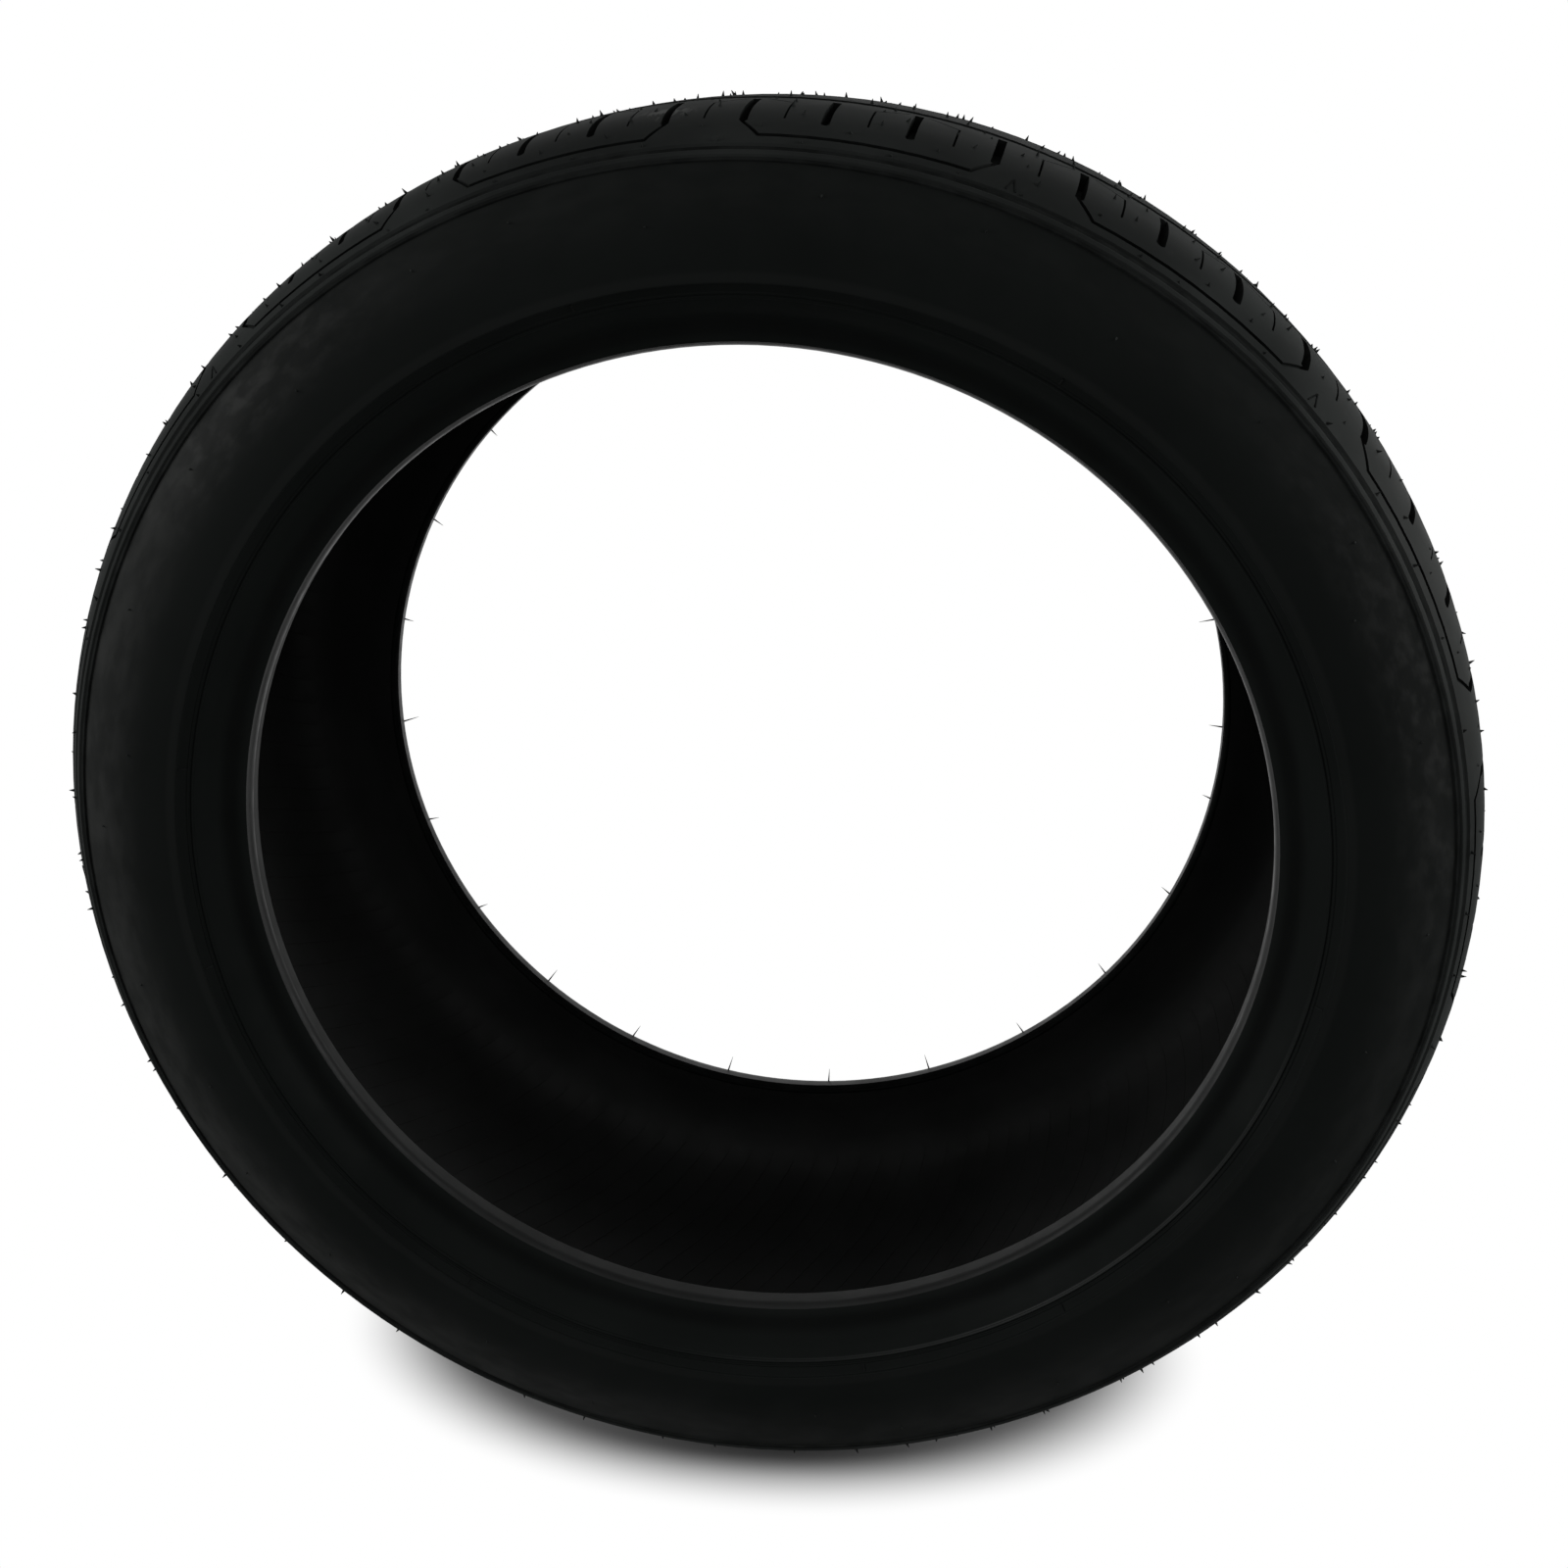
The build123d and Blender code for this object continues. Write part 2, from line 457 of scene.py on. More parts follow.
def spin_tile(bm, sizes):
    """Spins the section about the axle by one group of slots and notes each row's share of the liner.

    The share runs from nearly 0 at the middle to 1 at the bead, and is 0 on the outside.
    """
    share = bm.verts.layers.float.new("liner_share")
    outside = tread_section(sizes) + wall_section(sizes)
    inside = liner_section(sizes)
    chain = [bm.verts.new((radius, -place, 0)) for radius, place in [*outside, *inside]]
    chain[-1][share] = length = 0.01 * MM
    for row in range(len(chain) - 2, len(outside) - 1, -1):
        length += (chain[row].co - chain[row + 1].co).length
        chain[row][share] = length
    for vert in chain:
        vert[share] /= length
    edges = [bm.edges.new(pair) for pair in zip(chain, chain[1:])]
    bmesh.ops.spin(bm, geom=chain + edges, cent=(0, 0, 0), axis=(0, -1, 0), angle=tile_angle(sizes),
                   steps=COLUMNS, use_merge=False, use_duplicate=False)
    bm.normal_update()
    # Spun faces come in any order, so the farthest one, on the tread, shows which way they all face
    farthest = max(bm.faces, key=lambda face: face.calc_center_median().length)
    if farthest.normal.dot(farthest.calc_center_median()) < 0:
        bmesh.ops.reverse_faces(bm, faces=bm.faces[:])


def slice_faces(bm, faces, point, normal):
    """Cuts some faces along a plane."""
    edges = list(dict.fromkeys(edge for face in faces for edge in face.edges))
    verts = list(dict.fromkeys(vert for face in faces for vert in face.verts))
    bmesh.ops.bisect_plane(bm, geom=verts + edges + faces, dist=1e-7, plane_co=point, plane_no=normal)


def tread_faces(bm, sizes, angles, places):
    """Faces of the plain tread between two angles and two distances from the middle."""
    found = []
    for face in bm.faces:
        middle = face.calc_center_median()
        place = abs(middle.y)
        if (angles[0] < atan2(middle.z, middle.x) < angles[1] and places[0] < place < places[1]
                and hypot(middle.x, middle.z) > tread_radius(sizes, place) - TREAD_SKIN):
            found.append(face)
    return found


def tread_cuts(sizes):
    """The cuts of one tile, and the angles between which a line joins the feet of the outer slots.

    A cut has its start and end, each as an angle and a distance from the middle, its width and its kind.
    """
    pitch = tile_angle(sizes) / SLOTS_IN_TILE
    first = pitch / 6
    last = first + pitch * (SLOTS_IN_TILE - 1)
    tail_reach = pitch * 0.38
    line_reach = pitch / 4
    cuts = []
    for index in range(SLOTS_IN_TILE):
        slot = first + pitch * index
        sipe = slot + pitch / 2
        tail = sipe + tail_reach * (1 if index % 2 == 0 else -1)
        cuts.append(((slot, SLOT_TOP), (slot, SLOT_FOOT), sizes.slot_width, SLOT))
        cuts.append(((sipe, SIPE_TOP), (sipe, SIPE_FOOT), sizes.sipe_width, SIPE))
        cuts.append(((tail, SLOT_TOP), (sipe, SIPE_TOP), TAIL_WIDTH, LINE))
    cuts.append(((first, SLOT_FOOT), (first + line_reach, LINE_FOOT), sizes.line_width, LINE))
    cuts.append(((last, SLOT_FOOT), (last - line_reach, LINE_FOOT), sizes.line_width, LINE))
    return cuts, (first + line_reach, last - line_reach)


def mark_cuts(bm, sizes):
    """Cuts the outlines of slots, sipes and lines into the tile's tread and marks the faces inside them."""
    kind = bm.faces.layers.int.new("cut_kind")
    cuts, line_angles = tread_cuts(sizes)
    # A little over half a column of faces
    margin = tile_angle(sizes) / COLUMNS * 0.55
    for (start_angle, start_place), (end_angle, end_place), width, cut in cuts:
        start = on_tread(sizes, start_place, start_angle)
        end = on_tread(sizes, end_place, end_angle)
        outward = off_tread(sizes, (start_place + end_place) / 2, (start_angle + end_angle) / 2)
        across = (end - start).cross(outward).normalized()
        angles = (min(start_angle, end_angle) - margin, max(start_angle, end_angle) + margin)
        places = (start_place, end_place)
        for side in (-0.5, 0.5):
            slice_faces(bm, tread_faces(bm, sizes, angles, places), start + across * width * side, across)
        inside = [face for face in tread_faces(bm, sizes, angles, places)
                  if abs((face.calc_center_median() - start).dot(across)) < width / 2]
        for face in inside:
            face[kind] = cut
        if cut == SLOT:
            round_foot(bm, sizes, kind, (angles, (SIPE_FOOT, SLOT_FOOT)), end, across * width / 2)
    for face in tread_faces(bm, sizes, line_angles, (LINE_TOP, LINE_FOOT)):
        face[kind] = LINE
    return kind


def round_foot(bm, sizes, kind, window, foot, half):
    """Cuts the corners off the lower end of a slot."""
    down = Vector((0, -half.length, 0))
    for side in (half, -half):
        slant = (side + down).normalized()
        point = foot + side * FOOT_SHARE
        marked = [face for face in tread_faces(bm, sizes, *window) if face[kind] == SLOT]
        slice_faces(bm, marked, point, slant)
        for face in tread_faces(bm, sizes, *window):
            if face[kind] == SLOT and (face.calc_center_median() - point).dot(slant) > 0:
                face[kind] = PLAIN


def press_in(bm, faces, new_place):
    """Presses faces into the rubber, with walls round them, to the places that new_place gives."""
    made = bmesh.ops.extrude_face_region(bm, geom=faces)["geom"]
    bmesh.ops.delete(bm, geom=[face for face in faces if face.is_valid], context="FACES")
    for vert in [item for item in made if isinstance(item, bmesh.types.BMVert)]:
        vert.co = new_place(vert.co)
    return [item for item in made if isinstance(item, bmesh.types.BMFace)]


def press_cuts(bm, sizes, kind):
    """Presses the marked lines in, and then the sipes and the slots deeper."""
    def sunk(depth):
        return lambda co: co - off_tread(sizes, abs(co.y), atan2(co.z, co.x)) * depth

    def slot_floor(co):
        share = (abs(co.y) - SLOT_TOP) / (SLOT_FOOT - SLOT_TOP)
        top = tread_radius(sizes, SLOT_TOP) - sizes.slot_top_depth
        foot = tread_radius(sizes, SLOT_FOOT) - sizes.slot_foot_depth
        return at(top + (foot - top) * share, abs(co.y), atan2(co.z, co.x))

    marked = [face for face in bm.faces if face[kind] != PLAIN]
    bottoms = press_in(bm, marked, sunk(sizes.line_depth))
    sipes = [face for face in bottoms if face[kind] == SIPE]
    slots = [face for face in bottoms if face[kind] == SLOT]
    press_in(bm, sipes, sunk(sizes.sipe_depth - sizes.line_depth))
    press_in(bm, slots, slot_floor)


def cut_liner_lines(bm, sizes):
    """Presses thin lines into the liner, from its middle to a share of the way to the bead."""
    share = bm.verts.layers.float["liner_share"]
    spacing = tile_angle(sizes) / LINER_LINES
    half = sizes.liner_line_width / 2 / sizes.overall_radius
    for index in range(LINER_LINES + 1):
        for edge in (index * spacing - half, index * spacing, index * spacing + half):
            near = [face for face in bm.faces if max(vert[share] for vert in face.verts) > 0
                    and abs(atan2(*face.calc_center_median().zx) - edge) < spacing]
            slice_faces(bm, near, (0, 0, 0), (-sin(edge), 0, cos(edge)))
    bm.normal_update()
    for vert in bm.verts:
        lines = atan2(vert.co.z, vert.co.x) / spacing
        if 0 < vert[share] < LINER_LINES_END and abs(lines - round(lines)) < half / spacing / 2:
            vert.co -= vert.normal * sizes.liner_line_depth


def mirror_tile(bm):
    """Mirrors the tile to the other half of the tyre."""
    everything = bm.verts[:] + bm.edges[:] + bm.faces[:]
    bmesh.ops.mirror(bm, geom=everything, matrix=Matrix.Identity(4), merge_dist=1e-6, axis="Y")


def paint_tile(bm, sizes):
    """Gives each face of the tile the number of its rubber."""
    share = bm.verts.layers.float["liner_share"]
    for face in bm.faces:
        middle = face.calc_center_median()
        radius = hypot(middle.x, middle.z)
        if max(vert[share] for vert in face.verts) > 0:
            face.material_index = LINER
        elif radius > tread_radius(sizes, SHOULDER_EDGE) - TREAD_REACH:
            place = abs(middle.y)
            depth = (tread_radius(sizes, place) - radius) * tread_lean(sizes, place).x
            least = TREAD_CUT_DEPTH if place < EDGE_ROWS[0][0] * MM else EDGE_CUT_DEPTH
            # Faces deep in a cut, and the step under the shoulder, get the cut's darker rubber as painted
            # shade
            face.material_index = CUT if depth > least else TREAD
        elif radius < sizes.bead_radius + SEAT_DEPTH:
            outer = middle.y < 0
            strip = OUTER_STRIP if outer else INNER_STRIP
            if abs(middle.y) > sizes.bead_half_spacing - strip:
                face.material_index = BEAD
            else:
                # Past the heel's strip the inner seat gets the cut's darker rubber as painted shade
                face.material_index = LINER if outer else CUT
        else:
            face.material_index = SIDEWALL


def ring_from_tile(bm, sizes):
    """Repeats the tile round the axle."""
    copies = sizes.group_count - 1
    bmesh.ops.spin(bm, geom=bm.verts[:] + bm.edges[:] + bm.faces[:], cent=(0, 0, 0), axis=(0, -1, 0),
                   angle=tile_angle(sizes) * copies, steps=copies, use_merge=False, use_duplicate=True)
    bmesh.ops.remove_doubles(bm, verts=bm.verts[:], dist=0.03 * MM)


def settle_ring(bm, sizes):
    """Turns the tread to the swelling pitch, leans the liner's lines and flattens the foot of the tread."""
    share = bm.verts.layers.float["liner_share"]
    edge = tread_radius(sizes, SHOULDER_EDGE)
    for vert in bm.verts:
        radius = hypot(vert.co.x, vert.co.z)
        even = atan2(vert.co.z, vert.co.x) + sizes.first_group
        swing = 0 if vert[share] else min(1, (radius - sizes.bead_radius) / (edge - sizes.bead_radius))
        angle = even + (pitch_angle(sizes, even) - even) * swing
        lean = min(vert[share] / LINER_LINES_END, (1 - vert[share]) / (1 - LINER_LINES_END))
        angle += sizes.liner_twist * lean * (1 if vert.co.y > 0 else -1)
        vert.co.x, vert.co.z = radius * cos(angle), max(radius * sin(angle), sizes.floor_height)


def new_piece(bm, name, materials):
    """Makes a smooth piece from a bmesh, and lets it ride on the tyre's body."""
    bmesh.ops.recalc_face_normals(bm, faces=bm.faces[:])
    mesh = bpy.data.meshes.new(name)
    bm.to_mesh(mesh)
    bm.free()
    mesh.shade_smooth()
    mesh.set_sharp_from_angle(angle=SHARP_ANGLE)
    for material in materials:
        mesh.materials.append(material)
    piece = bpy.data.objects.new(name, mesh)
    bpy.context.scene.collection.objects.link(piece)
    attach(piece, "root")
    return piece


class Finish:
    """A material as a tree of nodes on Object coordinates."""

    def __init__(self, name):
        self.material = bpy.data.materials.new(name)
        self.material.use_nodes = True
        self.tree = self.material.node_tree
        self.shader = self.tree.nodes["Principled BSDF"]
        self.place = self.add("ShaderNodeTexCoord").outputs["Object"]
        flat = self.vectors("MULTIPLY", self.place, (1, 0, 1))
        self.radius = self.vectors("LENGTH", flat)
        self.ring = self.vectors("NORMALIZE", flat)

    def add(self, kind, **values):
        """Adds a node and sets its own values."""
        node = self.tree.nodes.new(kind)
        for name, value in values.items():
            setattr(node, name, value)
        return node

    def join(self, source, socket):
        """Links an output to an input, or sets the input's value."""
        if isinstance(source, bpy.types.NodeSocket):
            self.tree.links.new(source, socket)
        else:
            socket.default_value = source

    def shade(self, name, source):
        """Links or sets one input of the material's shader."""
        self.join(source, self.shader.inputs[name])

    def axis(self, name):
        """One coordinate of a place on the piece."""
        node = self.add("ShaderNodeSeparateXYZ")
        self.join(self.place, node.inputs["Vector"])
        return node.outputs[name]

    def vectors(self, operation, *values):
        """The result of an operation on one or two vectors."""
        node = self.add("ShaderNodeVectorMath", operation=operation)
        for value, socket in zip(values, node.inputs):
            self.join(value, socket)
        return node.outputs["Value" if operation in ("LENGTH", "DISTANCE") else "Vector"]

    def drawn_out(self, across):
        """Coordinates for a pattern drawn out round the tyre, so many times finer across than along."""
        node = self.add("ShaderNodeCombineXYZ")
        self.join(self.maths("MULTIPLY", self.radius, across), node.inputs["Y"])
        sidewall_radius = 0.28
        along = self.vectors("MULTIPLY", self.ring, (sidewall_radius,) * 3)
        return self.vectors("ADD", along, node.outputs["Vector"])

    def noise(self, scale, detail, place=None):
        """A noise from 0 to 1, at a number of grains to the metre."""
        node = self.add("ShaderNodeTexNoise")
        self.join(place or self.place, node.inputs["Vector"])
        node.inputs["Scale"].default_value = scale
        node.inputs["Detail"].default_value = detail
        return node.outputs["Fac"]

    def ranged(self, source, low, high, to_low=0.0, to_high=1.0):
        """A smooth step from one range to another."""
        node = self.add("ShaderNodeMapRange", interpolation_type="SMOOTHSTEP")
        for name, value in (("Value", source), ("From Min", low), ("From Max", high), ("To Min", to_low),
                            ("To Max", to_high)):
            self.join(value, node.inputs[name])
        return node.outputs["Result"]

    def between(self, source, low, high, soft):
        """1 between two values and 0 outside them, with soft ends."""
        return self.maths("MULTIPLY", self.ranged(source, low - soft, low + soft),
                          self.ranged(source, high - soft, high + soft, 1.0, 0.0))

    def maths(self, operation, *values):
        """The result of an operation on one, two or three values."""
        node = self.add("ShaderNodeMath", operation=operation)
        for value, socket in zip(values, node.inputs):
            self.join(value, socket)
        return node.outputs["Value"]

    def mixed(self, share, first, second):
        """Two colours, mixed by a share of the second."""
        node = self.add("ShaderNodeMix", data_type="RGBA")
        self.join(share, node.inputs["Factor"])
        self.join(first, node.inputs["A"])
        self.join(second, node.inputs["B"])
        return node.outputs["Result"]

    def near(self, point, reach):
        """A patch that fades out over a distance from a point."""
        return self.ranged(self.vectors("DISTANCE", self.place, point), reach, 0.0)

    def bumped(self, height, strength, distance, below=None):
        """A bump of some height, over another bump."""
        node = self.add("ShaderNodeBump")
        node.inputs["Strength"].default_value = strength
        node.inputs["Distance"].default_value = distance
        self.join(height, node.inputs["Height"])
        if below:
            self.join(below, node.inputs["Normal"])
        return node.outputs["Normal"]

    def rings(self, spacing):
        """Fine rings round the axle, as a lathe leaves in a mould."""
        node = self.add("ShaderNodeTexWave", wave_type="RINGS", rings_direction="Y")
        self.join(self.place, node.inputs["Vector"])
        node.inputs["Scale"].default_value = 2 * pi / (20 * spacing)
        node.inputs["Distortion"].default_value = 0.6
        return node.outputs["Fac"]


def rgba(colour, level=1.0):
    """A colour with its alpha, at a level of its own brightness."""
    return (colour[0] * level, colour[1] * level, colour[2] * level, 1.0)


def tread_rubber(colours):
    """Dull tread rubber: fine grain, mould dust, a pale scuff, and a patch on the upper right, part bloom,
    part painted light.
    """
    finish = Finish("tread_rubber")
    cloud = finish.ranged(finish.noise(14, 5), 0.35, 0.7)
    colour = finish.mixed(cloud, rgba(colours.tread, 0.8), rgba(colours.tread, 1.35))
    dust = finish.ranged(finish.noise(160, 6), 0.56, 0.78, 0.0, 0.14)
    colour = finish.mixed(dust, colour, rgba(colours.dust))
    mottle = finish.ranged(finish.noise(70, 6), 0.3, 0.7, 0.6, 0.85)
    # Painted light, partly bloom: a lighter mottled patch of dust colour on the upper right of the tread,
    # where the light falls most
    bloom_and_painted_light = finish.maths("MULTIPLY", finish.near((0.288, -0.075, 0.148), 0.13), mottle)
    colour = finish.mixed(bloom_and_painted_light, colour, rgba(colours.dust))
    streaked = finish.vectors("MULTIPLY", finish.place, (1, 0.25, 1))
    scratches = finish.ranged(finish.noise(420, 4, streaked), 0.46, 0.62, 0.0, 0.8)
    scuff = finish.maths("MULTIPLY", finish.near((-0.033, -0.092, 0.317), 0.016), scratches)
    finish.shade("Base Color", finish.mixed(scuff, colour, rgba(colours.dust, 2.4)))
    finish.shade("Roughness", finish.ranged(cloud, 0, 1, 0.5, 0.64))
    finish.shade("Specular IOR Level", 0.003)
    grain = finish.bumped(finish.noise(1400, 3), 0.25, 0.15 * MM)
    finish.shade("Normal", finish.bumped(finish.noise(45, 3), 0.2, 0.4 * MM, grain))
    return finish.material


def sidewall_rubber(colours):
    """Smooth dark sidewall, with the mould's fine rings and dusty patches; painted shade in the flank's
    valley and under the protector, a painted highlight on the protector's edge, a painted glint on the rim
    line, and a band by the step that is part bloom, part painted light.
    """
    finish = Finish("sidewall_rubber")
    cloud = finish.ranged(finish.noise(9, 5), 0.32, 0.68)
    colour = finish.mixed(cloud, rgba(colours.sidewall, 0.9), rgba(colours.sidewall, 1.12))
    # Painted shade: the flank's valley and the recess under the rim protector are darkened in colour, where
    # shade falls in these hollows
    valley_painted_shade = finish.between(finish.radius, 0.2338, 0.2405, 0.0022)
    recess_painted_shade = finish.between(finish.radius, 0.2498, 0.2546, 0.0008)
    shade = finish.maths("MULTIPLY_ADD", recess_painted_shade, 0.14, finish.maths("MULTIPLY", valley_painted_shade, 0.6))
    colour = finish.mixed(shade, colour, rgba(colours.sidewall, 0.15))
    # Painted light, partly bloom: dust colour in a band by the step, thinner at the top and stronger on the
    # left, standing in for light that falls there
    bloom_and_painted_light = finish.maths("MULTIPLY", finish.ranged(finish.radius, 0.269, 0.295),
                         finish.ranged(finish.axis("Z"), 0.1, 0.27, 1.0, 0.35))
    bloom_and_painted_light = finish.maths("MULTIPLY", bloom_and_painted_light, finish.ranged(finish.axis("X"), -0.22, 0.1, 1.75, 0.75))
    # Painted highlight: a lighter band of dust colour on the rim protector's edge, where the edge catches
    # the light
    edge = finish.between(finish.radius, 0.2555, 0.2595, 0.0012)
    patches = finish.maths("MAXIMUM", finish.near((-0.2, -0.13, 0.215), 0.11),
                           finish.near((0.27, -0.13, 0.1), 0.19))
    streaks = finish.ranged(finish.noise(110, 8, finish.drawn_out(1.8)), 0.42, 0.7)
    mottle = finish.ranged(finish.noise(60, 8, finish.drawn_out(2.5)), 0.3, 0.7)
    amount = finish.maths("MULTIPLY_ADD", mottle, 0.16, 0.12)
    amount = finish.maths("MULTIPLY_ADD", finish.maths("MULTIPLY", patches, streaks), 0.4, amount)
    share = finish.maths("MULTIPLY_ADD", edge, 0.07, finish.maths("MULTIPLY", bloom_and_painted_light, amount))
    finish.shade("Base Color", finish.mixed(share, colour, rgba(colours.dust)))
    finish.shade("Roughness", finish.ranged(finish.noise(26, 6), 0.3, 0.7, 0.52, 0.7))
    # Painted glint: stronger specular on a thin band of the rim line, only near the lower right, where it
    # shows a highlight
    rim_line_painted_glint = finish.maths("MULTIPLY", finish.between(finish.radius, 0.2487, 0.2496, 0.0003),
                            finish.near((0.15, -0.125, -0.2), 0.24))
    finish.shade("Specular IOR Level", finish.maths("MULTIPLY_ADD", rim_line_painted_glint, 0.13, 0.024))
    grain = finish.bumped(finish.noise(1100, 2), 0.12, 0.1 * MM)
    rings = finish.bumped(finish.rings(1.3 * MM), 0.1, 0.05 * MM, grain)
    finish.shade("Normal", finish.bumped(finish.noise(11, 2), 0.25, 1.0 * MM, rings))
    return finish.material


def cut_rubber(colours):
    """Darker rubber, about half the tread's tone, as painted shade in the cuts and lines, on the step and
    in the inner bead's seat; the marks get it too.
    """
    finish = Finish("cut_rubber")
    cloud = finish.ranged(finish.noise(90, 4), 0.35, 0.65)
    finish.shade("Base Color", finish.mixed(cloud, rgba(colours.tread, 0.42), rgba(colours.tread, 0.7)))
    finish.shade("Roughness", finish.ranged(finish.noise(300, 3), 0.3, 0.7, 0.6, 0.75))
    finish.shade("Specular IOR Level", 0.002)
    finish.shade("Normal", finish.bumped(finish.noise(900, 3), 0.2, 0.1 * MM))
    return finish.material


def bead_rubber(colours):
    """Smooth bead rubber with a painted highlight: glossier towards the top and on the inner bead."""
    finish = Finish("bead_rubber")
    cloud = finish.ranged(finish.noise(30, 4), 0.35, 0.65)
    finish.shade("Base Color", finish.mixed(cloud, rgba(colours.bead, 0.85), rgba(colours.bead, 1.2)))
    finish.shade("Roughness", finish.ranged(finish.noise(80, 5), 0.3, 0.7, 0.42, 0.58))
    # Painted highlight: the specular is set by place, rising towards the top and raised on the inner bead,
    # so the bead's line shows brighter there
    painted_highlight_gloss = finish.maths("MAXIMUM", finish.ranged(finish.axis("Z"), -0.15, 0.17, 0.07, 0.6),
                         finish.ranged(finish.axis("Y"), -0.01, 0.01, 0.0, 0.4))
    finish.shade("Specular IOR Level", painted_highlight_gloss)
    finish.shade("Normal", finish.bumped(finish.noise(500, 3), 0.1, 0.1 * MM))
    return finish.material


def liner_rubber(colours):
    """Dark satin rubber of the liner and the outer bead's seat, with the faint print of a bladder."""
    finish = Finish("liner_rubber")
    cloud = finish.ranged(finish.noise(18, 5), 0.3, 0.7)
    finish.shade("Base Color", finish.mixed(cloud, rgba(colours.liner, 0.85), rgba(colours.liner, 1.2)))
    finish.shade("Roughness", finish.ranged(finish.noise(70, 5), 0.3, 0.7, 0.5, 0.6))
    finish.shade("Specular IOR Level", 0.035)
    finish.shade("Normal", finish.bumped(finish.noise(240, 4), 0.15, 0.2 * MM))
    return finish.material


def rubber(name):
    """A rubber that the moulded ring has brought in."""
    material = bpy.data.materials.get(name)
    if material is None:
        raise RuntimeError(f"{name} isn't made yet: model the moulded ring first")
    return material


class TYRE_OT_moulded_ring(bpy.types.Operator):
    """Model the tyre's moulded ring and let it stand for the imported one"""

    bl_idname = "tyre.moulded_ring"
    bl_label = "Moulded Ring"

    def execute(self, context):
        sizes = context.scene.tyre_sizes
        colours = context.scene.rubber_colours
        bm = bmesh.new()
        spin_tile(bm, sizes)
        kind = mark_cuts(bm, sizes)
        press_cuts(bm, sizes, kind)
        cut_liner_lines(bm, sizes)
        mirror_tile(bm)
        paint_tile(bm, sizes)
        ring_from_tile(bm, sizes)
        settle_ring(bm, sizes)
        open_edges = sum(not edge.is_manifold for edge in bm.edges)
        if open_edges:
            raise RuntimeError(f"the ring isn't closed: {open_edges} open edges")
        rubbers = [tread_rubber, sidewall_rubber, bead_rubber, liner_rubber, cut_rubber]
        ring = new_piece(bm, "moulded_ring", [finish(colours) for finish in rubbers])
        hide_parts("tyre")
        return {"FINISHED"}


def add_spike(bm, foot, direction, length, radius):
    """Adds one tapered spike of rubber, rooted a little under the surface."""
    turn = direction.to_track_quat("Z", "Y").to_matrix().to_4x4()
    middle = foot + direction * (length / 2 - SPEW_ROOT)
    bmesh.ops.create_cone(bm, cap_ends=True, segments=5, radius1=radius, radius2=radius * 0.15,
                          depth=length, matrix=Matrix.Translation(middle) @ turn)


class TYRE_OT_vent_spews(bpy.types.Operator):
    """Model the spews that the mould's vents leave on the tread, the sidewalls and the bead"""

    bl_idname = "tyre.vent_spews"
    bl_label = "Vent Spews"

    def execute(self, context):
        sizes = context.scene.tyre_sizes
        draw = random.Random(SPEW_SEED)
        bm = bmesh.new()
        mirror = Matrix.Diagonal((1, -1, 1))
        pitch = tile_angle(sizes) / SLOTS_IN_TILE
        for index in range(sizes.group_count * SLOTS_IN_TILE):
            for place in SPEW_PLACES:
                for side in (Matrix.Identity(3), mirror):
                    even = sizes.first_group + pitch * (index + draw.uniform(0.25, 0.95))
                    angle = pitch_angle(sizes, even)
                    foot = on_tread(sizes, place * MM, angle)
                    if foot.z < sizes.floor_height + SPEW_CLEARANCE:
                        continue
                    lean = Vector((draw.uniform(-1, 1), draw.uniform(-1, 1), draw.uniform(-1, 1)))
                    outward = off_tread(sizes, place * MM, angle) + lean * SPEW_LEAN
                    direction = side @ outward.normalized()
                    length = sizes.spew_length * draw.uniform(0.4, 1.15)
                    add_spike(bm, side @ foot, direction, length, sizes.spew_radius)
        for index in range(SIDEWALL_SPEWS):
            angle = 2 * pi * (index + draw.uniform(-0.3, 0.3)) / SIDEWALL_SPEWS
            foot = at(*on_sidewall(sizes, SIDEWALL_SPEW_PLACES[index % len(SIDEWALL_SPEW_PLACES)]), angle)
            for side in (Matrix.Identity(3), mirror):
                lean = at(draw.uniform(-0.6, 0.6), 1, angle).normalized()
                add_spike(bm, side @ foot, side @ lean, SIDEWALL_SPEW_LENGTH, SIDEWALL_SPEW_RADIUS)
        for index in range(HAIRS):
            angle = radians(FIRST_HAIR + HAIR_PITCH * index)
            foot = mirror @ at(sizes.bead_radius + 0.7 * MM, sizes.bead_half_spacing - 1 * MM, angle)
            sway = Vector((draw.uniform(-0.2, 0.2), 0.25, draw.uniform(-0.2, 0.2)))
            direction = (at(-1, 0, angle) + sway).normalized()
            add_spike(bm, foot, direction, sizes.hair_length * draw.uniform(0.6, 1.1), HAIR_RADIUS)
        new_piece(bm, "vent_spews", [rubber("tread_rubber")])
        return {"FINISHED"}


def add_bar(bm, start, end, outward, width, height):
    """Adds one low bar of rubber on the surface, from a start to an end."""
    along = end - start
    across = outward.cross(along).normalized()
    up = along.cross(across).normalized()
    turn = Matrix((along.normalized(), across, up)).transposed().to_4x4()
    size = Matrix.Diagonal((along.length, width, 2 * height, 1))
    bmesh.ops.create_cube(bm, size=1, matrix=Matrix.Translation((start + end) / 2) @ turn @ size)


